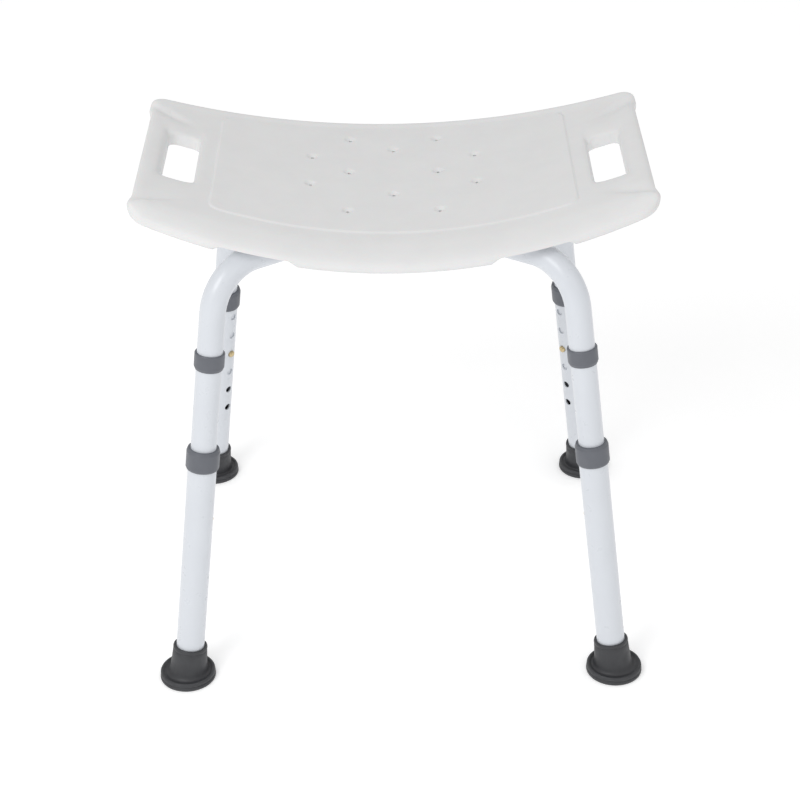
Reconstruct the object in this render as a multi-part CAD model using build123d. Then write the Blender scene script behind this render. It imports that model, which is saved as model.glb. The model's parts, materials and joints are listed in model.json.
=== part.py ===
from build123d import *
import math
import os

# A backless shower chair: a dished, blow-moulded seat on a welded cross of bent tube, with four
# splayed legs that plug into the cross and slide in and out for height.
# Millimetres, +Z up. The origin is on the floor under the middle of the seat, and -Y is the front.

# Driving dimensions of the seat
seat_width = 505.0  # along X, across the lips
seat_depth = 309.0  # along Y, at the middle
seat_height = 462.0  # floor to the seat's top at its middle, in the third height hole
seat_radius = 688.0  # of the dish, about an axis along Y
seat_edge_bow = 27.0  # how far the long edges curve in towards the corners
seat_corner_radius = 22.0
seat_thickness = 14.0
seat_skin = 2.6  # wall of the blow-moulded shell
rim_width = 24.0
rim_drop = 20.5  # the rolled rim's depth below the seat's top
rim_top_radius = 8.0
rim_bottom_radius = 5.0
side_waist = 3.5  # how far the ends step in between the front and back lips
side_waist_length = 204.0
side_waist_blend = 5.0  # half the length of the step from lip to waist
panel_width = 354.0
panel_depth = 252.0
panel_center_y = 11.0  # the panel reaches nearer to the rear edge than to the front
panel_bow = 15.0
panel_corner_radius = 12.0
panel_rise = 1.2
slot_center = 212.3  # hand-hold slot, from the middle along X
slot_center_y = 3.0
slot_width = 32.0
slot_length = 110.0
slot_corner_radius = 10.0
drain_columns = {0: (-22.0, 84.0), 45: (-61.0, 28.5, 108.0), 83: (-5.0, 60.0)}  # X to its Ys
drain_radius = 2.5
drain_dish_radius = 5.0
drain_dish_depth = 1.8
notch_inner = 96.0  # the front and back skirts are cut away from here
notch_outer = 168.0  # to here, along X, over the bent tubes
notch_height = 6.2

# Driving dimensions of the frame and legs
tube_diameter = 25.4
tube_wall = 1.25
outer_tube_diameter = 28.6
sliding_gap = 0.08
foot_x = 220.0  # where a leg's axis meets the floor
foot_y = 193.5
leg_lean = 8.65  # degrees, outwards in the leg's diagonal plane
cross_height = 435.0  # axis of the cross tubes at the middle
cross_rise = 13.5  # how much the tubes climb from the middle to the corner bends
cross_flat = 50.0  # half the level stretch at the middle
corner_bend_radius = 50.0
shallow_bend_radius = 300.0
weld_size = 2.2

# Places along a leg's axis, from the floor
button_at = 181.0
hole_pitch = 25.4
holes_above = 2  # height holes above the button
holes_below = 3
lower_collar_at = 253.0
lower_collar_height = 22.0
upper_collar_at = 358.5
upper_collar_height = 17.2
joint_button_at = 377.0
socket_floor_at = 13.0
foot_washer_thickness = 1.5
leg_tube_tail = 38.0  # the leg tube's length below its button
plug_length = 44.0  # the swaged end inside the cross tube
hole_radius = 4.0
button_radius = 3.75
button_stand = 2.7  # how far a height button stands out of the lower tube
joint_button_stand = 1.6
flange_inset = 1.7  # from a tube's bore to the foot of its button

# Feet
foot_radius = 28.6
foot_edge_radius = 1.2
foot_disc_height = 8.7
foot_valley_floor = 7.0  # a shallow valley runs between the disc's rim and the neck
foot_valley_inner = 20.5
foot_valley_outer = 25.0
foot_neck_height = 37.2
foot_neck_top_radius = 17.4
foot_neck_base_radius = 19.0
foot_bead_height = 3.6  # the thicker rim round the mouth of the neck
foot_bead_depth = 0.4

# Collars
collar_gap = 0.05  # between a collar and the tube that it sits on
upper_collar_wall = 2.1
upper_collar_lead = (1.2, 3.0)  # the taper at its lower edge, across and along
upper_collar_edge = (0.5, 0.8)
lower_collar_wall = 2.3
lower_collar_lead = (0.9, 2.0)
lower_collar_edge = (1.1, 3.0)

# Snap buttons and their leaf springs
button_dome = 1.2
button_rim = 0.2  # how far the dome's edge lies below its tip
button_flange = 0.4
button_flange_thickness = 0.8
leaf_thickness = 0.6
leaf_width = 6.4
leaf_arm = 30.0
leaf_pad = 6.0  # half the flat under the button
leaf_gap = 0.05

# Seat screws
screw_at = 128.0  # from the middle along a cross tube
screw_radius = 3.0
screw_head_radius = 5.5
screw_head_height = 3.4
screw_socket_radius = 2.0
washer_radius = 7.0
washer_thickness = 1.2
insert_radius = 4.4
insert_length = 14.0
insert_wall_gap = 0.05
boss_radius = 10.0

# Worked out from the above
lean = math.radians(leg_lean)
diagonal = math.atan2(foot_y, foot_x)
foot_reach = math.hypot(foot_x, foot_y)
tube_radius = tube_diameter / 2
tube_bore = tube_radius - tube_wall
outer_tube_radius = outer_tube_diameter / 2
outer_tube_bore = tube_radius + sliding_gap
plug_radius = tube_bore - sliding_gap
plug_bore = plug_radius - tube_wall
lower_tube_top = lower_collar_at + lower_collar_height / 2 - 2.0
cross_end_at = upper_collar_at + 1.0

FRONT, REAR, LEFT, RIGHT = -1, 1, -1, 1
CORNERS = {
    "front_left": (LEFT, FRONT),
    "front_right": (RIGHT, FRONT),
    "rear_left": (LEFT, REAR),
    "rear_right": (RIGHT, REAR),
}


def save(shape, name):
    export_step(shape, f"parts/{name}.step")


def pipe(outer, inner, bottom, top):
    """A round tube along local Z between two heights."""
    ring = Circle(outer) - Circle(inner)
    return Pos(0, 0, bottom) * extrude(ring, top - bottom)


def rod(radius, bottom, top):
    """A round bar along local Z between two heights."""
    return Pos(0, 0, bottom) * extrude(Circle(radius), top - bottom)


def turned(*points):
    """A solid of revolution about local Z from (radius, height) points."""
    outline = make_face(Polyline(*points, close=True))
    return revolve(Plane.XZ * outline, Axis.Z)


# --- Seat ---------------------------------------------------------------------------------


def bowed_plan(width, depth, bow, corner):
    """A rectangle whose two long edges bulge outwards, with rounded corners."""
    half_w = width / 2
    half_d = depth / 2
    corner_y = half_d - bow
    outline = make_face(
        [
            ThreePointArc((-half_w, -corner_y), (0, -half_d), (half_w, -corner_y)),
            Line((half_w, -corner_y), (half_w, corner_y)),
            ThreePointArc((half_w, corner_y), (0, half_d), (-half_w, corner_y)),
            Line((-half_w, corner_y), (-half_w, -corner_y)),
        ]
    )
    return fillet(outline.vertices(), corner)


def seat_plan():
    """The seat seen from above: bowed long edges, and ends waisted between the two lips."""
    plan = bowed_plan(seat_width, seat_depth, seat_edge_bow, seat_corner_radius)
    half_w = seat_width / 2
    lip_y = side_waist_length / 2 + side_waist_blend
    waist_y = side_waist_length / 2 - side_waist_blend
    cut = make_face(
        Polyline(
            (half_w + side_waist, -lip_y),
            (half_w, -lip_y),
            (half_w - side_waist, -waist_y),
            (half_w - side_waist, waist_y),
            (half_w, lip_y),
            (half_w + side_waist, lip_y),
            close=True,
        )
    )
    plan -= cut
    plan -= mirror(cut, Plane.YZ)
    steps = [v for v in plan.vertices() if abs(v.Y) < lip_y + 0.1]
    return fillet(steps, 2 * side_waist_blend)


def inner_plan(inset):
    """The seat's plan drawn in from its edge, without the waist."""
    width = seat_width - 2 * inset
    depth = seat_depth - 2 * inset
    return bowed_plan(width, depth, seat_edge_bow, seat_corner_radius / 2)


def dished(plan, above, below):
    """The plan given thickness along the dish, from `above` its top surface to `below` it."""
    shell = Circle(seat_radius + below) - Circle(seat_radius - above)
    trough = extrude(
        Plane.XZ * Pos(0, seat_height + seat_radius) * shell, seat_depth, both=True
    )
    column = Pos(0, 0, seat_height) * extrude(plan, 4 * seat_thickness, both=True)
    return trough & column


def across_dish(x, y, shape):
    """Places a shape with its origin on the seat's top surface and its Z along the normal."""
    tilt = math.asin(x / seat_radius)
    height = seat_height + seat_radius * (1 - math.cos(tilt))
    return Pos(x, y, height) * Rot(0, -math.degrees(tilt), 0) * shape


def drain_places():
    """The drain holes, in columns of two and three, the same to the left and right."""
    for offset, rows in drain_columns.items():
        for x in sorted({-offset, offset}):
            for y in rows:
                yield x, y


def cross_direction(x_side, y_side):
    """The level direction from the middle of the chair towards one leg."""
    return Vector(x_side * math.cos(diagonal), y_side * math.sin(diagonal), 0)


def run_height(distance):
    """The cross tube's axis height at a distance from the middle, on its sloping stretch."""
    corner_reach = foot_reach - math.tan(lean) * (cross_height + cross_rise)
    slope = cross_rise / (corner_reach - cross_flat)
    return cross_height + slope * (distance - cross_flat)


def screw_plane(x_side, y_side):
    """On a cross tube's axis where a seat screw passes, with Z square to the tube."""
    outward = cross_direction(x_side, y_side)
    rise = run_height(screw_at) - run_height(screw_at - 1)
    tube_direction = Vector(outward.X, outward.Y, rise)
    normal = Vector(-outward.X * rise, -outward.Y * rise, 1)
    return Plane(
        origin=outward * screw_at + Vector(0, 0, run_height(screw_at)),
        x_dir=tube_direction,
        z_dir=normal,
    )


def seat_blank():
    """The seat's outer skin, with its rolled rim and the shallow recess inside the rim below."""
    blank = dished(seat_plan(), 0, rim_drop)
    under, top = blank.faces().sort_by(SortBy.AREA)[-2:].sort_by(Axis.Z)
    blank = fillet(top.edges(), rim_top_radius)
    under = blank.faces().sort_by(SortBy.AREA)[-2:].sort_by(Axis.Z)[0]
    blank = fillet(under.edges(), rim_bottom_radius)
    return blank - dished(inner_plan(rim_width), -seat_thickness, 2 * rim_drop)


def build_seat(cross_cores):
    """The double-walled seat moulding, with its rim, panel, slots, drains and screw bosses."""
    panel = bowed_plan(panel_width, panel_depth, panel_bow, panel_corner_radius)
    seat = seat_blank() + dished(Pos(0, panel_center_y) * panel, panel_rise, seat_thickness / 2)

    # the sealed space inside the moulding
    hollow = dished(inner_plan(rim_width / 2), -seat_skin, seat_thickness - seat_skin)

    for x, y in drain_places():
        seat -= across_dish(x, y, Cylinder(drain_radius, 4 * seat_thickness))
        dish = Cone(drain_radius, drain_dish_radius, drain_dish_depth)
        seat -= across_dish(x, y, Pos(0, 0, panel_rise - drain_dish_depth / 2) * dish)
        hollow -= across_dish(x, y, Cylinder(drain_dish_radius + seat_skin, 4 * seat_thickness))

    slot = RectangleRounded(slot_width, slot_length, slot_corner_radius)
    slot_wall = RectangleRounded(
        slot_width + 2 * seat_skin, slot_length + 2 * seat_skin, slot_corner_radius
    )
    for side in (LEFT, RIGHT):
        middle = Pos(side * slot_center, slot_center_y, seat_height)
        seat -= middle * extrude(slot, 4 * rim_drop, both=True)
        hollow -= middle * extrude(slot_wall, 4 * rim_drop, both=True)

    # the skirt is cut away where the bent tubes pass out under it
    notch_plan = Rectangle(notch_outer - notch_inner, 3 * rim_width)
    for x_side, y_side in CORNERS.values():
        middle = Pos(x_side * (notch_inner + notch_outer) / 2, y_side * seat_depth / 2)
        seat -= dished(middle * notch_plan, notch_height - rim_drop, 2 * rim_drop)

    # solid bosses reach down to the cross tubes and hold the inserts
    boss_bottom = tube_radius / 2
    boss_top = tube_radius + insert_length
    for sides in CORNERS.values():
        place = screw_plane(*sides)
        seat += place * rod(boss_radius, boss_bottom, boss_top)
        seat -= place * rod(insert_radius, boss_bottom, boss_top - seat_skin)
        hollow -= place * Cylinder(boss_radius, 4 * tube_diameter)
    return seat - cross_cores - hollow


# --- Cross frame --------------------------------------------------------------------------


def cross_path(x_side, y_side, both_ways):
    """The axis of a cross tube in its upright diagonal plane: level, climbing, then down a leg."""
    reach_at_end = foot_reach - cross_end_at * math.sin(lean)
    height_at_end = cross_end_at * math.cos(lean)
    corner_height = cross_height + cross_rise
    corner_reach = foot_reach - math.tan(lean) * corner_height
    half = [
        (cross_flat, cross_height),
        (corner_reach, corner_height),
        (reach_at_end, height_at_end),
    ]
    radii = [shallow_bend_radius, corner_bend_radius]
    if both_ways:
        points = [(-s, z) for s, z in reversed(half)] + half
        radii = radii[::-1] + radii
    else:
        points = [(0, cross_height)] + half
    outward = cross_direction(x_side, y_side)
    plane = Plane(origin=(0, 0, 0), x_dir=outward, z_dir=outward.cross(Vector(0, 0, 1)))
    return plane * FilletPolyline(*points, radius=radii)


def along(path, radius):
    """A round bar of the given radius along a path."""
    start = path @ 0
    return sweep(Plane(origin=start, z_dir=path % 0) * Circle(radius), path)


def cross_tube(path):
    """A cross tube with its wall."""
    return along(path, tube_radius) - along(path, tube_bore)


def level_bar(x_side, y_side, radius):
    """A bar through the middle of the cross, along one diagonal."""
    plane = Plane(origin=(0, 0, cross_height), z_dir=cross_direction(x_side, y_side))
    return plane * Cylinder(radius, 2 * cross_flat)


def build_cross_welds():
    """The weld round the coped joint of the two diagonals, clear of the seat above."""
    outer = tube_radius + weld_size
    one = level_bar(RIGHT, REAR, outer) - level_bar(RIGHT, REAR, tube_radius)
    two = level_bar(RIGHT, FRONT, outer) - level_bar(RIGHT, FRONT, tube_radius)
    clear_of_seat = Box(4 * cross_flat, 4 * cross_flat, 4 * tube_radius)
    top = cross_height + 0.7 * tube_radius
    return one & two & (Pos(0, 0, top - 2 * tube_radius) * clear_of_seat)


# --- Legs ---------------------------------------------------------------------------------


def leg_plane(x_side, y_side):
    """Floor point of a leg, with Z up the leg's axis and X square to it, towards the middle."""
    outward = cross_direction(x_side, y_side)
    up_the_leg = Vector(0, 0, math.cos(lean)) - outward * math.sin(lean)
    inward = outward * -math.cos(lean) - Vector(0, 0, math.sin(lean))
    return Plane(origin=(x_side * foot_x, y_side * foot_y, 0), x_dir=inward, z_dir=up_the_leg)


def radial_hole(height):
    """A cutter for a button hole through the wall that faces the middle of the chair."""
    return Pos(tube_radius, 0, height) * Rot(0, 90, 0) * Cylinder(hole_radius, tube_diameter / 2)


def build_upper_collar():
    """Plastic sleeve over the joint between the cross tube and the leg tube."""
    bottom = upper_collar_at - upper_collar_height / 2
    top = bottom + upper_collar_height
    bore = tube_radius + collar_gap
    outer = tube_radius + upper_collar_wall
    lead_in, lead_up = upper_collar_lead
    edge_in, edge_down = upper_collar_edge
    return turned(
        (bore, bottom),
        (outer - lead_in, bottom),
        (outer, bottom + lead_up),
        (outer, top - edge_down),
        (outer - edge_in, top),
        (bore, top),
    )


def build_leg_tube():
    """The inner tube: a full-size length with a reduced end that plugs into the cross tube."""
    shoulder = cross_end_at - 0.3
    bottom = button_at - leg_tube_tail
    taper = 4.0
    tube = turned(
        (tube_bore, bottom),
        (tube_radius, bottom),
        (tube_radius, shoulder - taper),
        (plug_radius, shoulder),
        (plug_radius, shoulder + plug_length),
        (plug_bore, shoulder + plug_length),
        (plug_bore, shoulder - taper / 2),
        (tube_bore, shoulder - 1.5 * taper),
    )
    return tube - radial_hole(button_at) - radial_hole(joint_button_at)


def build_lower_collar():
    """Plastic cap on the top of the lower tube, with a lip that guides the leg tube."""
    bottom = lower_collar_at - lower_collar_height / 2
    top = bottom + lower_collar_height
    on_tube = outer_tube_radius + collar_gap
    outer = outer_tube_radius + lower_collar_wall
    lead_in, lead_up = lower_collar_lead
    edge_in, edge_down = lower_collar_edge
    lip_bottom = lower_tube_top + 2 * collar_gap
    return turned(
        (on_tube, bottom),
        (outer - lead_in, bottom),
        (outer, bottom + lead_up),
        (outer, top - edge_down),
        (outer - edge_in, top),
        (outer_tube_bore, top),
        (outer_tube_bore, lip_bottom),
        (on_tube, lip_bottom),
    )


def build_lower_tube():
    """The outer tube, with its row of height holes facing the middle of the chair."""
    bottom = socket_floor_at + foot_washer_thickness + 0.3
    tube = pipe(outer_tube_radius, outer_tube_bore, bottom, lower_tube_top)
    for step in range(-holes_below, holes_above + 1):
        tube -= radial_hole(button_at + step * hole_pitch)
    return tube


def build_foot(plane):
    """Rubber tip: a wide disc flat on the floor under a neck that follows the leaning tube."""
    disc = turned(
        (0, 0),
        (foot_radius - foot_edge_radius, 0),
        (foot_radius, foot_edge_radius),
        (foot_radius, foot_disc_height - foot_edge_radius),
        (foot_radius - foot_edge_radius, foot_disc_height),
        (foot_valley_outer, foot_disc_height),
        (foot_valley_outer - foot_edge_radius, foot_valley_floor),
        (foot_valley_inner, foot_valley_floor),
        (foot_neck_base_radius, foot_disc_height),
        (0, foot_disc_height),
    )
    bead_bottom = foot_neck_height - foot_bead_height
    neck = turned(
        (0, foot_valley_floor / 2),
        (foot_neck_base_radius, foot_valley_floor / 2),
        (foot_neck_base_radius, foot_disc_height + foot_edge_radius),
        (foot_neck_top_radius, bead_bottom - foot_bead_depth),
        (foot_neck_top_radius - foot_bead_depth, bead_bottom - foot_bead_depth),
        (foot_neck_top_radius - foot_bead_depth, bead_bottom),
        (foot_neck_top_radius, bead_bottom),
        (foot_neck_top_radius, foot_neck_height - foot_edge_radius),
        (foot_neck_top_radius - foot_edge_radius, foot_neck_height),
        (0, foot_neck_height),
    )
    foot = Pos(plane.origin.X, plane.origin.Y, 0) * disc + plane * neck
    bore = rod(outer_tube_radius + collar_gap, socket_floor_at, 2 * foot_neck_height)
    return foot - plane * bore


def build_foot_washer():
    """Steel disc in the bottom of the tip, which keeps the tube from cutting through."""
    bottom = socket_floor_at + 0.1
    return rod(outer_tube_bore, bottom, bottom + foot_washer_thickness)


def build_button(height, flange_at, tip_at):
    """A domed snap button pointing at the middle of the chair, with its seat on the leaf."""
    flange_radius = button_radius + button_flange
    flange_top = flange_at + button_flange_thickness
    shape = turned(
        (0, flange_at),
        (flange_radius, flange_at),
        (flange_radius, flange_top),
        (button_radius, flange_top),
        (button_radius, tip_at - button_dome),
        (button_radius - button_dome, tip_at - button_rim),
        (0, tip_at),
    )
    return Pos(0, 0, height) * Rot(0, 90, 0) * shape


def build_spring(height, flange_at, bore):
    """A V-shaped leaf: the button's arm, a bend, and an arm that braces on the far wall."""
    button_side = flange_at - leaf_gap - leaf_thickness / 2
    far_side = leaf_thickness * 1.5 - bore
    line = FilletPolyline(
        (button_side, height - leaf_pad),
        (button_side, height + leaf_pad),
        (0, height + leaf_arm),
        (far_side, height + leaf_pad / 3),
        (far_side, height - leaf_pad),
        radius=[leaf_pad * 2 / 3, leaf_pad * 2 / 5, leaf_pad * 2 / 3],
    )
    return extrude(Plane.XZ * trace(line, leaf_thickness), leaf_width / 2, both=True)


# --- Seat hardware ------------------------------------------------------------------------


def insert_solid():
    """Brass insert moulded into a seat boss, just above the cross tube."""
    top = tube_radius + insert_length - seat_skin - 0.1
    outer = insert_radius - insert_wall_gap
    return pipe(outer, screw_radius + 0.1, tube_radius + 0.4, top)


def screw_solid():
    """Pan-head screw through a cross tube, with its socket head under the tube."""
    under_head = -(tube_radius + washer_thickness + 0.1)
    head_bottom = under_head - screw_head_height
    head = turned(
        (0, under_head),
        (screw_head_radius, under_head),
        (screw_head_radius, head_bottom + 1.2),
        (screw_head_radius - 1.6, head_bottom),
        (0, head_bottom),
    )
    socket = Pos(0, 0, head_bottom) * extrude(RegularPolygon(screw_socket_radius, 6), 1.8)
    shank = rod(screw_radius, under_head, tube_radius + insert_length - seat_skin - 1.0)
    return head + shank - socket


def washer_solid():
    """Flat washer between a screw head and the cross tube."""
    top = -(tube_radius + 0.05)
    return pipe(washer_radius, screw_radius + 0.2, top - washer_thickness, top)


# --- The assembly -------------------------------------------------------------------------


def save_cross():
    """Writes the welded cross and returns the space that its tubes fill."""
    main_path = cross_path(RIGHT, REAR, both_ways=True)
    main_core = along(main_path, tube_radius + 0.05)
    clearance = Cylinder(screw_radius + 0.3, 3 * tube_diameter)

    def drilled(tube, corner):
        sides = CORNERS[corner]
        tube -= screw_plane(*sides) * clearance
        return tube - leg_plane(*sides) * radial_hole(joint_button_at)

    main_tube = cross_tube(main_path)
    for corner in ("front_left", "rear_right"):
        main_tube = drilled(main_tube, corner)
    save(main_tube, "cross_tube_main")

    cores = main_core
    for corner in ("front_right", "rear_left"):
        path = cross_path(*CORNERS[corner], both_ways=False)
        save(drilled(cross_tube(path) - main_core, corner), f"cross_tube_{corner}")
        cores += along(path, tube_radius + 0.05)
    save(build_cross_welds(), "cross_welds")
    return cores


def save_seat(cores):
    """Writes the seat and what fastens it to the cross."""
    save(build_seat(cores), "seat")
    hardware = {
        "seat_inserts": insert_solid(),
        "seat_screws": screw_solid(),
        "screw_washers": washer_solid(),
    }
    for name, solid in hardware.items():
        places = [screw_plane(*sides) for sides in CORNERS.values()]
        save(Compound(children=[place * solid for place in places]), name)


def save_legs():
    """Writes the pieces of each leg."""
    height_tip = outer_tube_radius + button_stand
    joint_tip = tube_radius + joint_button_stand
    pieces = {
        "upper_collar": build_upper_collar(),
        "leg_tube": build_leg_tube(),
        "lower_collar": build_lower_collar(),
        "lower_tube": build_lower_tube(),
        "foot_washer": build_foot_washer(),
        "height_button": build_button(button_at, tube_bore - flange_inset, height_tip),
        "height_spring": build_spring(button_at, tube_bore - flange_inset, tube_bore),
        "joint_button": build_button(joint_button_at, plug_bore - flange_inset, joint_tip),
        "joint_spring": build_spring(joint_button_at, plug_bore - flange_inset, plug_bore),
    }
    for corner, sides in CORNERS.items():
        plane = leg_plane(*sides)
        for name, solid in pieces.items():
            save(plane * solid, f"{name}_{corner}")
        save(build_foot(plane), f"foot_{corner}")


os.makedirs("parts", exist_ok=True)
cross_cores = save_cross()
save_seat(cross_cores)
save_legs()
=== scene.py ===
import json
import math

import bpy
import bmesh
from mathutils import Matrix, Vector
from mathutils.geometry import delaunay_2d_cdt


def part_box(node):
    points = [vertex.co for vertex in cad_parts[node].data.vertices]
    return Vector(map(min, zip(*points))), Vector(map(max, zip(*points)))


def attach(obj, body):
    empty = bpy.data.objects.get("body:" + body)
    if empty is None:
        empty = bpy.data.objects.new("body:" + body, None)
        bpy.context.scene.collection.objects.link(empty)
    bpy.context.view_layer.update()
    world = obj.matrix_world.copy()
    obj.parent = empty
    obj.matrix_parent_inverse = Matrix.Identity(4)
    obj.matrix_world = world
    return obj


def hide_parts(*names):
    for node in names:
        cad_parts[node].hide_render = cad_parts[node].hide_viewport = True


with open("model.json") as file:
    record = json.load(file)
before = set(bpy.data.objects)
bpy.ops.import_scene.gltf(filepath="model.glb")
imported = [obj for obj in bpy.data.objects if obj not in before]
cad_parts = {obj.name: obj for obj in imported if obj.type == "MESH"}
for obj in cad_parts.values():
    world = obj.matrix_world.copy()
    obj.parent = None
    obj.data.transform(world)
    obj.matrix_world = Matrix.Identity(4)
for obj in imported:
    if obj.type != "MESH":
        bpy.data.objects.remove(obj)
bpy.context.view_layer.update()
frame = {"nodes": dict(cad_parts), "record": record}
MM = 0.001
CORNERS = {
    "front_left": (-1, -1),
    "front_right": (1, -1),
    "rear_left": (-1, 1),
    "rear_right": (1, 1),
}

# --- Seat: its size, from the frame's own boxes, and its shape --------------------------------

SEAT_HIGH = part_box("seat")[1]
HALF_WIDTH = SEAT_HIGH.x
HALF_DEPTH = SEAT_HIGH.y
SEAT_TOP = 462 * MM  # the dish's height at its middle, beside the raised panel
DISH_RADIUS = 688 * MM
WALL_THICKNESS = 14 * MM

EDGE_BOW = 27 * MM  # how far the front and rear edges bulge
CORNER_RADIUS = 22 * MM
SEAT_SHAPE = (HALF_WIDTH, HALF_DEPTH, EDGE_BOW, CORNER_RADIUS)
WAIST = 3.5 * MM  # how far the ends step in between the front and rear lips
WAIST_OUT = 112 * MM  # where along Y the step starts
WAIST_IN = 96 * MM
WAIST_REACH = 60 * MM  # how far in from the ends the top follows the step
WAIST_FADE = 40 * MM

EDGE_ROLL = (11 * MM, 9 * MM, 2.3)  # the top's rolled edge: how wide, how deep, how square
FRONT_ROLL = (36 * MM, 13.5 * MM, 1.8)
LEAST_DISTANCE = 0.1 * MM  # keeps the blend of the two rolls clear of zero
REAR_LIFT = 3.6 * MM  # the rear edge turns up a little before it rolls over
REAR_LIFT_WIDTH = 19 * MM

SKIRT_DROP = 20.5 * MM
SKIRT_WIDTH = 24 * MM  # at the front and rear
END_SKIRT_WIDTH = 11.5 * MM  # beside the hand-hold slots
END_TURN_FROM = 0.05  # the X part of the outline's normal where the skirt starts to narrow
END_TURN_SPAN = 0.6  # how much more of it there is where the skirt is fully narrow
NOTCH_BEYOND = 100 * MM  # along Y: the skirt is cut away over the bent tubes
NOTCH_FROM = 96 * MM  # along X
NOTCH_TO = 168 * MM
NOTCH_STEP = 10 * MM
NOTCH_HEIGHT = 6.2 * MM

PANEL_HALF_WIDTH = 177 * MM
PANEL_HALF_DEPTH = 122.3 * MM
PANEL_MIDDLE = 14.7 * MM  # along Y
PANEL_BOW = 15 * MM
PANEL_CORNER = 12 * MM
PANEL_SHAPE = (PANEL_HALF_WIDTH, PANEL_HALF_DEPTH, PANEL_BOW, PANEL_CORNER)
PANEL_RISE = 1.5 * MM
PANEL_RAMP = 1.4 * MM

SLOT_X = 212.3 * MM
SLOT_MIDDLE = {-1: 9.5 * MM, 1: -3 * MM}  # along Y: the left slot sits nearer to the back
SLOT_HALF = (16 * MM, 52.5 * MM)
SLOT_CORNER = 10 * MM
SLOT_WALL = 17 * MM  # the slot's wall stands a little below the underside
SLOT_ROLL = (6 * MM, 26 * MM)  # how far the surface round a slot rolls down, along X and Y
SLOT_ROLL_DROP = 4.2 * MM
SLOT_MOUTH_DROP = 2.4 * MM  # how deep its rounded mouth is

CREASE_DEPTH = 3.6 * MM  # the valley between a slot and the front or rear lip
CREASE_FROM = 196 * MM  # along X, where it starts
CREASE_FADE = 36 * MM
CREASE_Y = 87 * MM  # along Y, at its inner end
CREASE_TURN = 206 * MM  # along X, where it starts to run outwards
CREASE_SLOPE = 0.55
CREASE_WIDTHS = (11 * MM, 4.5 * MM)  # on the slot's side and on the lip's side

DRAINS = {0: (-22, 84), 45: (-61, 28.5, 108), 83: (-5, 60)}  # mm: rows along Y of each column
DRAIN_RADIUS = 1.6 * MM  # at the bottom of its dimple
DRAIN_FOOT = 4.0 * MM  # a drain widens towards the underside
DRAIN_DISH = 7.0 * MM
DRAIN_DEPTH = 2.4 * MM

TUBE_RADIUS = 12.7 * MM  # the cross tubes under the bosses
BOSS_RADIUS = 10 * MM
BOSS_BORE = 5 * MM  # its radius
BOSS_GAP = 0.35 * MM  # between a boss and its tube
INSERT_GAP = 0.3 * MM  # above the insert in a boss

# --- Seat: how finely it is meshed ------------------------------------------------------------

# rings round the rim: how far in from the outline in mm, and how far down the skirt as a share
TOP_INSETS = (14.5, 12.5, 10.5, 8.5, 6.5, 4.8, 3.4, 2.2, 1.3, 0.65, 0.25, 0.06, 0)
SKIRT_RINGS = ((0, 0.3), (0.1, 0.5), (0.5, 0.7), (1.3, 0.86), (2.5, 0.96), (4.2, 1))
UNDER_RINGS = ((20.5, 1), (22.3, 0.98), (23.2, 0.9))
# loops round a slot: how far out in mm, and at its foot how high above the wall's lower edge
SLOT_MOUTH_LOOPS = (4, 2.9, 1.9, 1.0, 0.3, 0)
SLOT_FOOT_LOOPS = ((0, 1.2), (0.3, 0.4), (0.9, 0), (2.3, 0), (3.1, 0.5), (3.5, 3))
SLOT_STEPS = {"corner": 9, "end": 4, "side": 30}
# loops round a drain: the dimple's in mm, and the shares of the way down from it
DRAIN_LOOPS = (7.8, 6.9, 6.0, 5.1, 4.2, 3.3, 2.4, 1.6)
DRAIN_SHARES = (0.35, 1)
DRAIN_SIDES = 28
BOSS_SIDES = 32
PANEL_SHIFTS = (-2.2, -1.4, -0.7, 0, 0.7, 1.4, 2.2)  # mm: lines along the panel's ramp
PANEL_CLEAR = 3.6 * MM
RIM_SPACING = 4 * MM
PANEL_SPACING = 2.4 * MM
CORNER_FINENESS = 1.6
GRID = 3.2 * MM
UNDER_STRIDE = 4  # the underside takes every fourth point of the grid
# how far inner points keep from the rim and from each slot, drain and boss
TOP_RIM_GAP = 21 * MM
TOP_POINT_GAPS = (5.8 * MM, 9.2 * MM)
UNDER_RIM_GAP = 27 * MM
UNDER_POINT_GAPS = (6 * MM, 6.5 * MM, 12.5 * MM)
# what counts as open: a little less than the outer loops, so that every triangle beside one stays
TOP_OPEN_GAPS = (3.9 * MM, 7.72 * MM)
UNDER_OPEN_GAPS = (3.4 * MM, 3.96 * MM, 9.9 * MM)
SEAT_SHARP_ANGLE = math.radians(48)
MERGE_DISTANCE = 1e-7
INSIDE_ONLY = 1  # the triangulation keeps what is inside the outer ring


# --- Seat: outlines and distances in the plan -------------------------------------------------


def smooth(t):
    """A ramp from 0 to 1 with level ends."""
    t = min(max(t, 0.0), 1.0)
    return t * t * (3 - 2 * t)


def waist_share(y):
    """How much of the waist's step there is at a place along Y."""
    return smooth((WAIST_OUT - abs(y)) / (WAIST_OUT - WAIST_IN))


def edge_radius(half_w, bow):
    """The radius of a long edge that bulges outwards."""
    return (half_w**2 + bow**2) / (2 * bow)


def bowed_centers(half_w, half_d, bow, corner):
    """The front edge's radius, its centre along Y, and the centre of the corner arc beside it."""
    arc_radius = edge_radius(half_w, bow)
    arc_center = arc_radius - half_d
    corner_x = half_w - corner
    corner_y = arc_center - math.sqrt((arc_radius - corner) ** 2 - corner_x**2)
    return arc_radius, arc_center, corner_x, corner_y


def step_count(length, spacing, least=3):
    """How many steps of about the spacing make up a length."""
    return max(least, round(length / spacing))


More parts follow.
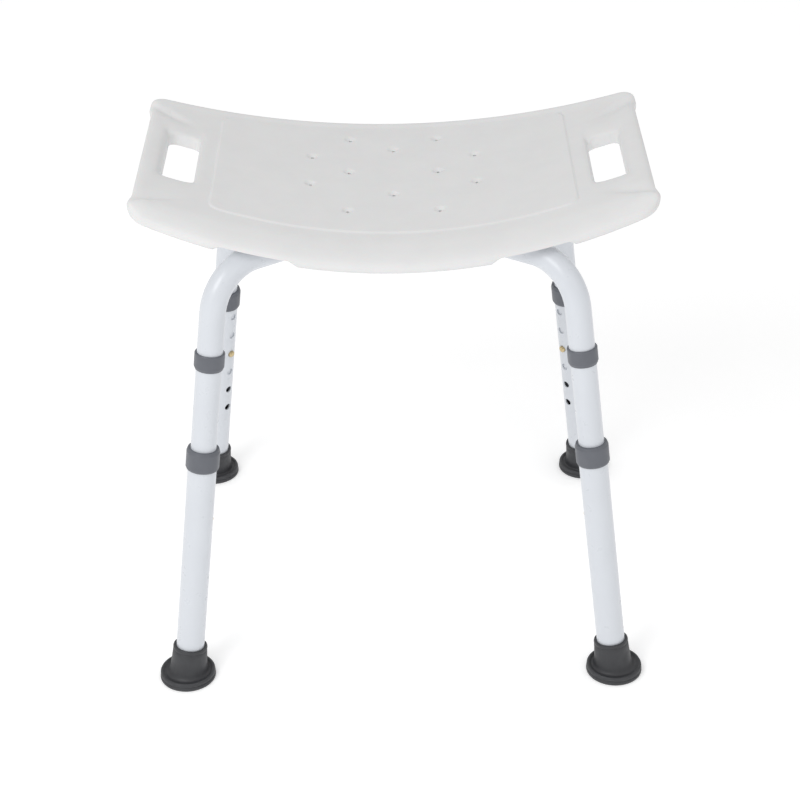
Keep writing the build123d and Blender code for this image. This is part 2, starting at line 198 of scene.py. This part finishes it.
def bowed_outline(half_w, half_d, bow, corner, spacing, waist=0.0):
    """Points round a rectangle whose long edges bulge outwards, with round corners."""
    arc_radius, arc_center, corner_x, corner_y = bowed_centers(half_w, half_d, bow, corner)
    meet = math.asin(corner_x / (arc_radius - corner))
    quarter = []
    steps = step_count(arc_radius * meet, spacing)
    for i in range(steps):
        a = meet * i / steps
        quarter.append((arc_radius * math.sin(a), arc_center - arc_radius * math.cos(a)))
    turn = math.pi / 2 - meet
    steps = step_count(corner * turn * CORNER_FINENESS, spacing, 4)
    for i in range(steps):
        a = meet + turn * i / steps
        quarter.append((corner_x + corner * math.sin(a), corner_y - corner * math.cos(a)))
    steps = step_count(-corner_y, spacing)
    for i in range(steps):
        y = corner_y * (1 - i / steps)
        quarter.append((half_w - waist * waist_share(y), y))
    half = quarter + [(half_w - waist, 0.0)] + [(x, -y) for x, y in reversed(quarter)]
    return half + [(-x, y) for x, y in reversed(half[1:-1])]


def inward_normals(outline):
    """At each point of a closed outline, the direction square to it and inwards."""
    normals = []
    for i in range(len(outline)):
        ax, ay = outline[i - 1]
        bx, by = outline[(i + 1) % len(outline)]
        length = math.hypot(bx - ax, by - ay)
        normals.append((-(by - ay) / length, (bx - ax) / length))
    return normals


def outline_distance(x, y, half_w, half_d, bow, corner):
    """How far inside a bowed rectangle a point lies. Negative outside it."""
    x, y = abs(x), -abs(y)
    arc_radius, arc_center, corner_x, corner_y = bowed_centers(half_w, half_d, bow, corner)
    if x > corner_x and y < corner_y:
        return corner - math.hypot(x - corner_x, y - corner_y)
    return min(arc_radius - math.hypot(x, y - arc_center), half_w - x)


def edge_inset(x, y):
    """How far in from the seat's outline a point lies."""
    return outline_distance(x, y, *SEAT_SHAPE)


def panel_inset(x, y):
    """How far inside the raised panel a point lies. Negative outside it."""
    return outline_distance(x, y - PANEL_MIDDLE, *PANEL_SHAPE)


def rear_distance(x, y):
    """How far a point lies inside the bowed rear edge."""
    arc_radius = edge_radius(HALF_WIDTH, EDGE_BOW)
    return arc_radius - math.hypot(x, y - HALF_DEPTH + arc_radius)


def off_slot(x, y):
    """How far a point is from the middle of the hand-hold slot at its end, along X and Y."""
    return abs(abs(x) - SLOT_X), abs(y - SLOT_MIDDLE[-1 if x < 0 else 1])


def slot_distance(x, y):
    """How far outside the nearer hand-hold slot a point lies. Negative in the slot."""
    off_x, off_y = off_slot(x, y)
    dx = off_x - (SLOT_HALF[0] - SLOT_CORNER)
    dy = off_y - (SLOT_HALF[1] - SLOT_CORNER)
    outside = math.hypot(max(dx, 0), max(dy, 0))
    return outside + min(max(dx, dy), 0) - SLOT_CORNER


def drain_centers():
    """Where the drain holes are, in mirrored columns."""
    for column, rows in DRAINS.items():
        for x in sorted({-column, column}):
            for y in rows:
                yield x * MM, y * MM


def circle(cx, cy, radius, count):
    """Points round a circle."""
    turns = [2 * math.pi * i / count for i in range(count)]
    return [(cx + radius * math.cos(a), cy + radius * math.sin(a)) for a in turns]


def slot_outline(side, grow):
    """Points round a hand-hold slot, grown outwards."""
    points = []
    reach = (SLOT_HALF[0] - SLOT_CORNER, SLOT_HALF[1] - SLOT_CORNER)
    radius = SLOT_CORNER + grow
    for quarter in range(4):
        sx = 1 if quarter in (0, 3) else -1
        sy = 1 if quarter in (0, 1) else -1
        cx, cy = SLOT_X + sx * reach[0], sy * reach[1]
        for i in range(SLOT_STEPS["corner"] + 1):
            a = math.pi / 2 * (quarter + i / SLOT_STEPS["corner"])
            points.append((cx + radius * math.cos(a), cy + radius * math.sin(a)))
        if quarter in (0, 2):
            span, steps = 2 * reach[0], SLOT_STEPS["end"]
            points += [(cx - sx * span * k / steps, cy + sy * radius) for k in range(1, steps)]
        else:
            span, steps = 2 * reach[1], SLOT_STEPS["side"]
            points += [(cx + sx * radius, cy - sy * span * k / steps) for k in range(1, steps)]
    return [(side * x, SLOT_MIDDLE[side] + y) for x, y in points]


# --- Seat: heights ----------------------------------------------------------------------------


def dish(x):
    """Height of the plain dished surface."""
    return SEAT_TOP + DISH_RADIUS - math.sqrt(DISH_RADIUS**2 - x * x)


def roll_size(x, y):
    """The width, depth and power of the rolled edge nearest to a point: wide at the front."""
    share = 0.0
    if y < 0:
        to_front = max(rear_distance(x, -y), LEAST_DISTANCE)
        to_side = max(HALF_WIDTH - abs(x), LEAST_DISTANCE)
        share = to_side**2 / (to_side**2 + to_front**2)
    return [edge + (front - edge) * share for edge, front in zip(EDGE_ROLL, FRONT_ROLL)]


def roll(x, y, inset):
    """How far the top has rolled down at a distance in from the edge."""
    width, depth, power = roll_size(x, y)
    u = max(1 - max(inset, 0) / width, 0)
    return depth * (1 - (1 - u**power) ** (1 / power))


def panel_rise(x, y):
    """The raised panel, with a ramp round it."""
    return PANEL_RISE * smooth(0.5 + panel_inset(x, y) / (2 * PANEL_RAMP))


def rear_lift(x, y):
    """How far the top turns up towards the rear edge."""
    if y <= 0:
        return 0.0
    return REAR_LIFT * smooth(1 - rear_distance(x, y) / REAR_LIFT_WIDTH)


def slot_drop(x, y):
    """How far the surface round a slot has rolled down towards it."""
    off_x, off_y = off_slot(x, y)
    along = max(off_x - SLOT_HALF[0], 0) / SLOT_ROLL[0]
    across = max(off_y - SLOT_HALF[1] + SLOT_CORNER / 2, 0) / SLOT_ROLL[1]
    away = min(math.hypot(along, across), 1)
    return SLOT_ROLL_DROP * (1 - away) ** 2


def crease_drop(x, y):
    """How deep the valley is between a slot and the front or rear lip."""
    share = smooth((abs(x) - CREASE_FROM) / CREASE_FADE)
    crease_at = CREASE_Y + max(abs(x) - CREASE_TURN, 0) * CREASE_SLOPE
    off = (abs(y) - crease_at) / CREASE_WIDTHS[abs(y) > crease_at]
    return CREASE_DEPTH * share * math.exp(-off * off)


def drain_drop(x, y):
    """How deep the dimple round a drain hole is."""
    drop = 0.0
    for cx, cy in drain_centers():
        r = math.hypot(x - cx, y - cy)
        if r < DRAIN_DISH:
            drop += DRAIN_DEPTH * (1 - smooth((r - DRAIN_RADIUS) / (DRAIN_DISH - DRAIN_RADIUS)))
    return drop


def relief(x, y):
    """The panel, rear lift, slot rolls, creases and dimples, above the plain dish."""
    raised = panel_rise(x, y) + rear_lift(x, y)
    return raised - slot_drop(x, y) - crease_drop(x, y) - drain_drop(x, y)


def seat_surface(x, y, inset=None):
    """Height of the finished top."""
    if inset is None:
        end_share = smooth((abs(x) - HALF_WIDTH + WAIST_REACH) / WAIST_FADE)
        inset = edge_inset(x, y) - WAIST * waist_share(y) * end_share
    return dish(x) + relief(x, y) - roll(x, y, inset)


def seat_under(x, y):
    """Height of the underside."""
    return dish(x) - WALL_THICKNESS


def notch_share(x, y):
    """1 where the skirt is cut away over a bent tube, 0 elsewhere."""
    if abs(y) < NOTCH_BEYOND:
        return 0.0
    inner = smooth((abs(x) - NOTCH_FROM + NOTCH_STEP / 2) / NOTCH_STEP)
    outer = smooth((NOTCH_TO + NOTCH_STEP / 2 - abs(x)) / NOTCH_STEP)
    return inner * outer


def skirt_height(x, y, share):
    """Height on the skirt, a share of the way down from where the top's roll ends."""
    start = roll_size(x, y)[1]
    depth = SKIRT_DROP - NOTCH_HEIGHT * notch_share(x, y)
    return dish(x) - start - (depth - start) * share


# --- Meshes, loop by loop ---------------------------------------------------------------------


class Shell:
    """Vertices and faces of one closed skin, put together loop by loop."""

    def __init__(self):
        self.points = []
        self.faces = []

    def loop(self, points):
        start = len(self.points)
        self.points.extend(points)
        return list(range(start, len(self.points)))

    def raised_loop(self, outline, height):
        """A loop over an outline in the plan."""
        return self.loop([(x, y, height(x, y)) for x, y in outline])

    def skin(self, loops):
        """Joins each loop to the next."""
        for a, b in zip(loops, loops[1:]):
            for i in range(len(a)):
                j = (i + 1) % len(a)
                self.faces.append((a[i], a[j], b[j], b[i]))

    def cap(self, ring, center):
        tip = self.loop([center])[0]
        for i in range(len(ring)):
            self.faces.append((ring[i], ring[(i + 1) % len(ring)], tip))

    def sheet(self, rings, inner, keep, height):
        """Fills the plan inside the first ring, apart from where keep() is false."""
        flat, owner, edges = [], [], []
        for ring in rings:
            start = len(flat)
            for i, vertex in enumerate(ring):
                flat.append(Vector(self.points[vertex][:2]))
                owner.append(vertex)
                edges.append((start + i, start + (i + 1) % len(ring)))
        for x, y in inner:
            flat.append(Vector((x, y)))
            owner.append(None)
        filled = delaunay_2d_cdt(flat, edges, [], INSIDE_ONLY, MERGE_DISTANCE)
        spots, _, triangles, origins, _, _ = filled
        index = []
        for spot, origin in zip(spots, origins):
            known = [owner[o] for o in origin if owner[o] is not None]
            if known:
                index.append(known[0])
            else:
                index.append(self.loop([(spot.x, spot.y, height(spot.x, spot.y))])[0])
        for triangle in triangles:
            cx = sum(spots[i].x for i in triangle) / 3
            cy = sum(spots[i].y for i in triangle) / 3
            if keep(cx, cy):
                self.faces.append(tuple(index[i] for i in triangle))

    def build(self, name, sharp_angle):
        """Makes the object, smooth apart from edges sharper than the angle."""
        mesh = bpy.data.meshes.new(name)
        mesh.from_pydata(self.points, [], self.faces)
        bm = bmesh.new()
        bm.from_mesh(mesh)
        bmesh.ops.recalc_face_normals(bm, faces=bm.faces)
        for face in bm.faces:
            face.smooth = True
        bm.to_mesh(mesh)
        bm.free()
        mesh.set_sharp_from_angle(angle=sharp_angle)
        made = bpy.data.objects.new(name, mesh)
        bpy.context.scene.collection.objects.link(made)
        return made


# --- Seat: its parts. Each adds to the shell and returns its upper and lower loop -------------


def build_rim(shell):
    """From the top sheet's edge out over the roll, down the skirt and in underneath."""
    outline = bowed_outline(*SEAT_SHAPE, RIM_SPACING, WAIST)
    normals = inward_normals(bowed_outline(*SEAT_SHAPE, RIM_SPACING))

    def ring_at(inset, height, end_share=1.0):
        """A ring in from the outline, and only a share as far in at the two ends."""
        points = []
        for (x, y), (nx, ny) in zip(outline, normals):
            turned = smooth((abs(nx) - END_TURN_FROM) / END_TURN_SPAN)
            reach = inset * (1 + turned * (end_share - 1))
            points.append((x + nx * reach, y + ny * reach))
        return shell.raised_loop(points, height)

    narrow = END_SKIRT_WIDTH / SKIRT_WIDTH
    rings = []
    for inset in TOP_INSETS:
        rings.append(ring_at(inset * MM, lambda x, y: seat_surface(x, y, inset * MM)))
    for inset, share in SKIRT_RINGS:
        rings.append(ring_at(inset * MM, lambda x, y: skirt_height(x, y, share)))
    for inset, share in UNDER_RINGS:
        rings.append(ring_at(inset * MM, lambda x, y: skirt_height(x, y, share), narrow))
    rings.append(ring_at(SKIRT_WIDTH, seat_under, narrow))
    shell.skin(rings)
    return rings[0], rings[-1]


def build_slot(shell, side):
    """A hand-hold slot's rounded mouth, wall and foot."""
    loops = []
    for grow in SLOT_MOUTH_LOOPS:
        closed = 1 - grow / SLOT_MOUTH_LOOPS[0]
        drop = SLOT_MOUTH_DROP * (1 - math.sqrt(max(1 - closed**2, 0)))
        outline = slot_outline(side, grow * MM)
        loops.append(shell.raised_loop(outline, lambda x, y: seat_surface(x, y) - drop))
    for grow, up in SLOT_FOOT_LOOPS:
        outline = slot_outline(side, grow * MM)
        loops.append(shell.raised_loop(outline, lambda x, y: dish(x) - SLOT_WALL + up * MM))
    shell.skin(loops)
    return loops[0], loops[-1]


def build_drain(shell, cx, cy):
    """A drain's dimple and the hole that widens downwards from it."""
    loops = []
    for radius in DRAIN_LOOPS:
        spots = circle(cx, cy, radius * MM, DRAIN_SIDES)
        loops.append(shell.raised_loop(spots, seat_surface))
    for share in DRAIN_SHARES:
        radius = DRAIN_RADIUS + (DRAIN_FOOT - DRAIN_RADIUS) * share
        depth = DRAIN_DEPTH + (WALL_THICKNESS - DRAIN_DEPTH) * share
        spots = circle(cx, cy, radius, DRAIN_SIDES)
        loops.append(shell.raised_loop(spots, lambda x, y: dish(x) - depth))
    shell.skin(loops)
    return loops[0], loops[-1]


def boss_places():
    """Where the seat's screw bosses stand, from the inserts inside them."""
    vertices = [v.co for v in frame["nodes"]["seat_inserts"].data.vertices]
    for x_side, y_side in CORNERS.values():
        mine = [v for v in vertices if v.x * x_side > 0 and v.y * y_side > 0]
        x = (min(v.x for v in mine) + max(v.x for v in mine)) / 2
        y = (min(v.y for v in mine) + max(v.y for v in mine)) / 2
        yield x, y, min(v.z for v in mine), max(v.z for v in mine)


def build_boss(shell, cx, cy, low, high):
    """A screw boss, hollowed to sit over its tube. It has a lower loop only."""
    direction = Vector((cx, cy)).normalized()

    def saddle(x, y):
        side = (x - cx) * -direction.y + (y - cy) * direction.x
        return low - BOSS_GAP - TUBE_RADIUS + math.sqrt(TUBE_RADIUS**2 - side * side)

    outer = circle(cx, cy, BOSS_RADIUS, BOSS_SIDES)
    bore = circle(cx, cy, BOSS_BORE, BOSS_SIDES)
    bore_top = high + INSERT_GAP
    loops = [
        shell.raised_loop(outer, seat_under),
        shell.raised_loop(outer, saddle),
        shell.raised_loop(bore, saddle),
        shell.raised_loop(bore, lambda x, y: bore_top),
    ]
    shell.skin(loops)
    shell.cap(loops[-1], (cx, cy, bore_top))
    return loops[0]


def clear_of_holes(x, y, slot_gap, drain_gap, boss_gap=0.0, bosses=()):
    """Whether a point is at least so far from every slot, drain and boss."""
    if slot_distance(x, y) < slot_gap:
        return False
    if any(math.hypot(x - cx, y - cy) < drain_gap for cx, cy in drain_centers()):
        return False
    return not any(math.hypot(x - boss[0], y - boss[1]) < boss_gap for boss in bosses)


def panel_lines():
    """Points along the raised panel's ramp."""
    points = []
    for shift in PANEL_SHIFTS:
        grow = shift * MM
        ring = bowed_outline(
            PANEL_HALF_WIDTH + grow, PANEL_HALF_DEPTH + grow, PANEL_BOW, PANEL_CORNER + grow,
            PANEL_SPACING,
        )
        points += [(x, y + PANEL_MIDDLE) for x, y in ring]
    return points


def seat_grid():
    """Staggered points over the seat, apart from the raised panel's ramp."""
    points = []
    rows = int(2 * HALF_DEPTH / GRID)
    columns = int(2 * HALF_WIDTH / GRID)
    for i in range(columns + 1):
        for j in range(rows + 1):
            x = -HALF_WIDTH + (i + 0.5 * (j % 2)) * GRID
            y = -HALF_DEPTH + j * GRID
            if abs(panel_inset(x, y)) > PANEL_CLEAR:
                points.append((x, y))
    return points


def build_top_sheet(shell, loops, grid):
    spots = []
    for x, y in grid + panel_lines():
        if edge_inset(x, y) > TOP_RIM_GAP and clear_of_holes(x, y, *TOP_POINT_GAPS):
            spots.append((x, y))
    shell.sheet(loops, spots, lambda x, y: clear_of_holes(x, y, *TOP_OPEN_GAPS), seat_surface)


def build_under_sheet(shell, loops, grid, bosses):
    def keep(x, y):
        return clear_of_holes(x, y, *UNDER_OPEN_GAPS, bosses)

    spots = []
    for x, y in grid[::UNDER_STRIDE]:
        if edge_inset(x, y) > UNDER_RIM_GAP and clear_of_holes(x, y, *UNDER_POINT_GAPS, bosses):
            spots.append((x, y))
    shell.sheet(loops, spots, keep, seat_under)


def build_seat():
    """The moulded seat: a rolled rim round a dished sheet, with slots, drains and bosses."""
    shell = Shell()
    pairs = [build_rim(shell)]
    for side in (-1, 1):
        pairs.append(build_slot(shell, side))
    for cx, cy in drain_centers():
        pairs.append(build_drain(shell, cx, cy))
    top_loops = [top for top, _ in pairs]
    under_loops = [under for _, under in pairs]
    bosses = list(boss_places())
    for boss in bosses:
        under_loops.append(build_boss(shell, *boss))
    grid = seat_grid()
    build_top_sheet(shell, top_loops, grid)
    build_under_sheet(shell, under_loops, grid, bosses)
    return shell.build("seat_moulding", SEAT_SHARP_ANGLE)


# --- Feet -------------------------------------------------------------------------------------

FOOT_RADIUS = 28.6 * MM
FOOT_RECESS = 0.6  # mm: how deep the grooves in the sole are
FOOT_SOCKET = 14.0  # mm: the height of the socket's floor
FOOT_SIDES = 96
FOOT_SHARP_ANGLE = math.radians(50)
# radius and height in mm, and how far the section has turned from level to square with the leg
FOOT_SOLE = (
    (4, FOOT_RECESS, 0), (8.8, FOOT_RECESS, 0), (9.2, 0, 0), (12.6, 0, 0),
    (13.0, FOOT_RECESS, 0), (16.6, FOOT_RECESS, 0), (17.0, 0, 0), (20.6, 0, 0),
    (21.0, FOOT_RECESS, 0), (24.4, FOOT_RECESS, 0), (24.8, 0, 0),
)
FOOT_FLANGE = (
    (27.2, 0, 0), (28.1, 0.25, 0), (28.5, 0.9, 0), (28.6, 1.8, 0), (28.5, 3.1, 0),
    (28.2, 3.7, 0), (27.7, 4.0, 0), (27.7, 4.3, 0), (28.1, 4.7, 0), (28.25, 5.4, 0),
    (28.1, 7.2, 0), (27.6, 8.2, 0), (26.8, 8.7, 0), (25.8, 8.7, 0), (25.0, 8.3, 0),
    (24.4, 7.6, 0.05), (23.6, 7.1, 0.1), (22.4, 7.0, 0.15), (21.2, 7.4, 0.25),
)
FOOT_NECK = (
    (20.2, 8.4, 0.4), (19.5, 10.0, 0.6), (19.0, 12.5, 0.8), (18.7, 16.0, 1), (18.2, 22.0, 1),
    (17.75, 28.0, 1), (17.5, 32.2, 1), (17.1, 32.7, 1), (16.95, 33.1, 1), (17.1, 33.5, 1),
    (17.5, 34.0, 1), (17.55, 35.2, 1), (17.3, 36.3, 1), (16.7, 37.0, 1), (15.9, 37.2, 1),
)
FOOT_BORE = (
    (15.0, 37.1, 1), (14.5, 36.7, 1), (14.36, 36.0, 1), (14.36, FOOT_SOCKET, 1),
    (4, FOOT_SOCKET, 1),
)


def foot_place(corner):
    """The middle of a foot's sole, and the direction up its leg."""
    low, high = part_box(f"foot_{corner}")
    x_side, y_side = CORNERS[corner]
    base = Vector((
        (high.x - FOOT_RADIUS) if x_side > 0 else (low.x + FOOT_RADIUS),
        (high.y - FOOT_RADIUS) if y_side > 0 else (low.y + FOOT_RADIUS),
        0,
    ))
    collar_low, collar_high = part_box(f"lower_collar_{corner}")
    collar_middle = (collar_low + collar_high) / 2
    return base, (collar_middle - base).normalized()


def build_foot(corner):
    """A rubber tip: flat double-beaded flange on the floor and a neck that follows the tube."""
    base, up = foot_place(corner)
    shell = Shell()
    rings = []
    for r, h, turn in FOOT_SOLE + FOOT_FLANGE + FOOT_NECK + FOOT_BORE:
        normal = Vector((0, 0, 1)).lerp(up, turn).normalized()
        center = base + up * (h * MM / up.z) if turn > 0 else base + Vector((0, 0, h * MM))
        across = normal.cross(Vector((0, 1, 0))).normalized()
        other = normal.cross(across)
        ring = []
        for i in range(FOOT_SIDES):
            a = 2 * math.pi * i / FOOT_SIDES
            ring.append(tuple(center + (across * math.cos(a) + other * math.sin(a)) * r * MM))
        rings.append(shell.loop(ring))
    shell.skin(rings)
    shell.cap(rings[0], tuple(base + Vector((0, 0, FOOT_RECESS * MM))))
    shell.cap(rings[-1], tuple(base + up * FOOT_SOCKET * MM))
    return shell.build(f"rubber_foot_{corner}", FOOT_SHARP_ANGLE)


# --- Materials --------------------------------------------------------------------------------

MOTTLE = (26, 4, 0.6)  # a noise's scale, detail and roughness
UNEVEN_GLOSS = (90, 3, 0.6)
BUMP_NOISE = (2, 0.5)  # detail and roughness
COLOR_RANGE = (0.35, 0.65)  # the part of a noise's values that the shades are spread over
GLOSS_RANGE = (0.3, 0.7)


def new_material(name, color, roughness, **settings):
    """A Principled material and its shader, with plain values set on the shader itself."""
    material = bpy.data.materials.new(name)
    material.use_nodes = True
    shader = material.node_tree.nodes["Principled BSDF"]
    shader.inputs["Base Color"].default_value = (*color, 1)
    shader.inputs["Roughness"].default_value = roughness
    for socket, value in settings.items():
        shader.inputs[socket.replace("_", " ")].default_value = value
    return material, shader


def noise(nodes, links, where, scale, detail, rough):
    texture = nodes.new("ShaderNodeTexNoise")
    texture.inputs["Scale"].default_value = scale
    texture.inputs["Detail"].default_value = detail
    texture.inputs["Roughness"].default_value = rough
    links.new(where, texture.inputs["Vector"])
    return texture.outputs["Fac"]


def ranged(nodes, links, value, low, high):
    """The value spread over a range, as for a roughness."""
    spread = nodes.new("ShaderNodeMapRange")
    spread.inputs["From Min"].default_value = GLOSS_RANGE[0]
    spread.inputs["From Max"].default_value = GLOSS_RANGE[1]
    spread.inputs["To Min"].default_value = low
    spread.inputs["To Max"].default_value = high
    links.new(value, spread.inputs["Value"])
    return spread.outputs["Result"]


def tinted(nodes, links, value, *shades):
    """A colour that varies between two shades with the value."""
    ramp = nodes.new("ShaderNodeValToRGB")
    for element, at, shade in zip(ramp.color_ramp.elements, COLOR_RANGE, shades):
        element.position = at
        element.color = (*shade, 1)
    links.new(value, ramp.inputs["Fac"])
    return ramp.outputs["Color"]


def bumped(nodes, links, shader, *layers):
    """Adds bump layers of (height value, depth in metres)."""
    normal = None
    for value, depth in layers:
        bump = nodes.new("ShaderNodeBump")
        bump.inputs["Strength"].default_value = 1.0
        bump.inputs["Distance"].default_value = depth
        links.new(value, bump.inputs["Height"])
        if normal is not None:
            links.new(normal, bump.inputs["Normal"])
        normal = bump.outputs["Normal"]
    links.new(normal, shader.inputs["Normal"])


def grained(name, base, spread, roughness, grain, waves, **settings):
    """A surface with colour mottling, uneven gloss, fine grain and slow waves.

    spread is how much the colour varies, roughness is (lowest, highest), and grain and waves
    are (scale, depth in metres).
    """
    material, shader = new_material(name, base, sum(roughness) / 2, **settings)
    nodes, links = material.node_tree.nodes, material.node_tree.links
    where = nodes.new("ShaderNodeTexCoord").outputs["Object"]
    mottle = noise(nodes, links, where, *MOTTLE)
    dark = [c * (1 - spread) for c in base]
    light = [min(c * (1 + spread), 1) for c in base]
    links.new(tinted(nodes, links, mottle, dark, light), shader.inputs["Base Color"])
    gloss = noise(nodes, links, where, *UNEVEN_GLOSS)
    links.new(ranged(nodes, links, gloss, *roughness), shader.inputs["Roughness"])
    fine = noise(nodes, links, where, grain[0], *BUMP_NOISE)
    slow = noise(nodes, links, where, waves[0], *BUMP_NOISE)
    bumped(nodes, links, shader, (slow, waves[1]), (fine, grain[1]))
    return material


def seat_plastic(name):
    """Blow-moulded polyethylene: white, slightly waxy and faintly wavy."""
    return grained(
        name, (0.715, 0.715, 0.715), 0.012, (0.42, 0.56), (1500, 0.00006), (22, 0.0006),
        Subsurface_Weight=0.06, Subsurface_Scale=0.004, Specular_IOR_Level=0.42,
    )


def tube_white(name):
    """Glossy white paint on the tubes."""
    return grained(
        name, (0.63, 0.655, 0.695), 0.012, (0.26, 0.38), (900, 0.00005), (60, 0.0001),
        Coat_Weight=0.25, Coat_Roughness=0.2,
    )


def collar_grey(name):
    """Dark grey moulded plastic."""
    return grained(
        name, (0.113, 0.12, 0.138), 0.06, (0.38, 0.52), (2200, 0.00003), (80, 0.0001)
    )


def foot_rubber(name):
    """Charcoal rubber."""
    return grained(
        name, (0.037, 0.038, 0.042), 0.12, (0.42, 0.6), (1800, 0.00005), (70, 0.00015),
        Specular_IOR_Level=0.5,
    )


def metal(name, color, spread, roughness, grain_scale, wave_scale):
    """Bare metal with a fine grain."""
    grain, waves = (grain_scale, 0.00002), (wave_scale, 0.00005)
    return grained(name, color, spread, roughness, grain, waves, Metallic=1.0)


def button_brass(name):
    return metal(name, (0.56, 0.45, 0.26), 0.08, (0.2, 0.36), 2600, 200)


def insert_brass(name):
    return metal(name, (0.75, 0.60, 0.33), 0.08, (0.22, 0.36), 2600, 200)


def spring_steel(name):
    return metal(name, (0.52, 0.53, 0.55), 0.06, (0.2, 0.34), 2400, 160)


def hardware_steel(name):
    return metal(name, (0.62, 0.63, 0.65), 0.06, (0.24, 0.38), 2400, 160)


# the function of each material has the name of its slot in the record
MAKERS = (
    seat_plastic, tube_white, collar_grey, foot_rubber,
    button_brass, insert_brass, spring_steel, hardware_steel,
)
MATERIALS = {maker.__name__: maker(maker.__name__) for maker in MAKERS}


def paint(piece, slot):
    """Gives a new piece the material of its slot."""
    piece.data.materials.append(MATERIALS[slot])


# --- Pieces -----------------------------------------------------------------------------------

for entry in frame["record"]["subparts"]:
    for place in frame["nodes"][entry["node"]].material_slots:
        place.material = MATERIALS[entry["material_slot"]]

seat = build_seat()
paint(seat, "seat_plastic")
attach(seat, "frame")
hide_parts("seat")

for corner in CORNERS:
    foot = build_foot(corner)
    paint(foot, "foot_rubber")
    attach(foot, f"leg_{corner}")
    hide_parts(f"foot_{corner}")

# --- Floor, light and camera ------------------------------------------------------------------

WHITE = (1, 1, 1, 1)
FLOOR_HALF = 12.0
FLOOR_COLOR = (0.93, 0.93, 0.93)
FLOOR_ROUGHNESS = 0.9
FLOOR_GLOW = 0.25
WORLD_STRENGTH = 0.76
LIGHT_AIM = (0, 0, 0.35)
LIGHT_SIZE = 1.2
CAMERA_PLACE = (0.00556, -1.8846, 1.3425)
CAMERA_LENS = 93.09  # mm
CAMERA_SENSOR = 36  # mm
CAMERA_DOWN = 30.965  # degrees below the horizon
CAMERA_TURN = 0.079  # degrees to the left
CAMERA_ROLL = -0.877  # degrees


def add_floor():
    """A large pale floor that isn't part of the chair."""
    mesh = bpy.data.meshes.new("floor")
    square = [(-1, -1), (1, -1), (1, 1), (-1, 1)]
    mesh.from_pydata([(x * FLOOR_HALF, y * FLOOR_HALF, 0) for x, y in square], [], [(0, 1, 2, 3)])
    floor = bpy.data.objects.new("floor", mesh)
    bpy.context.scene.collection.objects.link(floor)
    material, _ = new_material(
        "floor_pale", FLOOR_COLOR, FLOOR_ROUGHNESS,
        Emission_Color=WHITE, Emission_Strength=FLOOR_GLOW,
    )
    floor.data.materials.append(material)


def add_world():
    """Even white light from everywhere."""
    world = bpy.data.worlds.new("studio")
    bpy.context.scene.world = world
    world.use_nodes = True
    background = world.node_tree.nodes["Background"]
    background.inputs["Color"].default_value = WHITE
    background.inputs["Strength"].default_value = WORLD_STRENGTH


def add_light(name, place, power):
    """A round soft light, aimed at the chair."""
    light = bpy.data.lights.new(name, "AREA")
    light.shape = "DISK"
    light.size = LIGHT_SIZE
    light.energy = power
    holder = bpy.data.objects.new(name, light)
    holder.location = place
    holder.rotation_euler = (Vector(LIGHT_AIM) - Vector(place)).to_track_quat("-Z", "Y").to_euler()
    bpy.context.scene.collection.objects.link(holder)


def add_camera():
    """The photograph's point of view."""
    data = bpy.data.cameras.new("camera")
    data.lens = CAMERA_LENS
    data.sensor_width = CAMERA_SENSOR
    camera = bpy.data.objects.new("camera", data)
    tilt = Matrix.Rotation(math.radians(90 - CAMERA_DOWN), 4, "X")
    turn = Matrix.Rotation(math.radians(CAMERA_TURN), 4, "Z")
    level = Matrix.Rotation(math.radians(CAMERA_ROLL), 4, "Z")
    camera.matrix_world = Matrix.Translation(CAMERA_PLACE) @ turn @ tilt @ level
    bpy.context.scene.collection.objects.link(camera)
    bpy.context.scene.camera = camera


add_floor()
add_world()
add_light("key", (-1.1, -1.5, 1.9), 17)
add_light("fill", (1.2, -1.8, 1.6), 2)
add_camera()
bpy.context.scene.view_settings.view_transform = "Standard"
